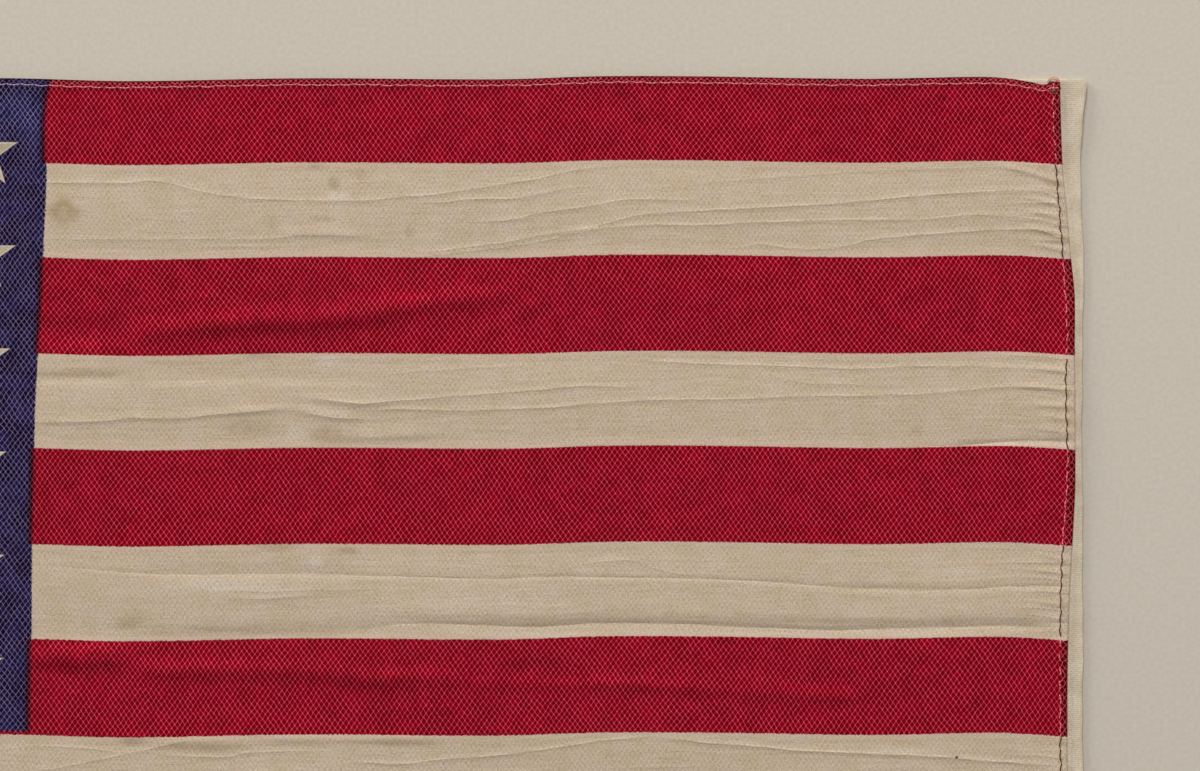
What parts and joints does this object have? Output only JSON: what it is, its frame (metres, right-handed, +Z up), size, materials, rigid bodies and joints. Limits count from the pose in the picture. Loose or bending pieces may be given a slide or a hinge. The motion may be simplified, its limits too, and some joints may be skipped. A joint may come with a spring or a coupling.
{
  "type": "printed cotton flag with backing cloth, laid flat",
  "caption": "Small hemmed flag of red and white stripes with a blue starred canton, printed on cotton and laid flat on a cream backing cloth.",
  "frame": {"origin": "centre of the backing cloth's underside, at the middle of the whole outline", "axes": "+Z up, out of the flag's face; +X from the hoist to the fly; +Y towards the flag's top edge"},
  "size_m": [0.4638, 0.3044, 0.0032],
  "materials": {
    "printed_cotton": "matt printed cotton with a small diamond weave, red, aged white and blue",
    "cream_cotton": "matt plain cream cotton"
  },
  "bodies": {
    "root": {"flag_cloth": "printed_cotton", "backing_cloth": "cream_cotton"}
  },
  "joints": []
}
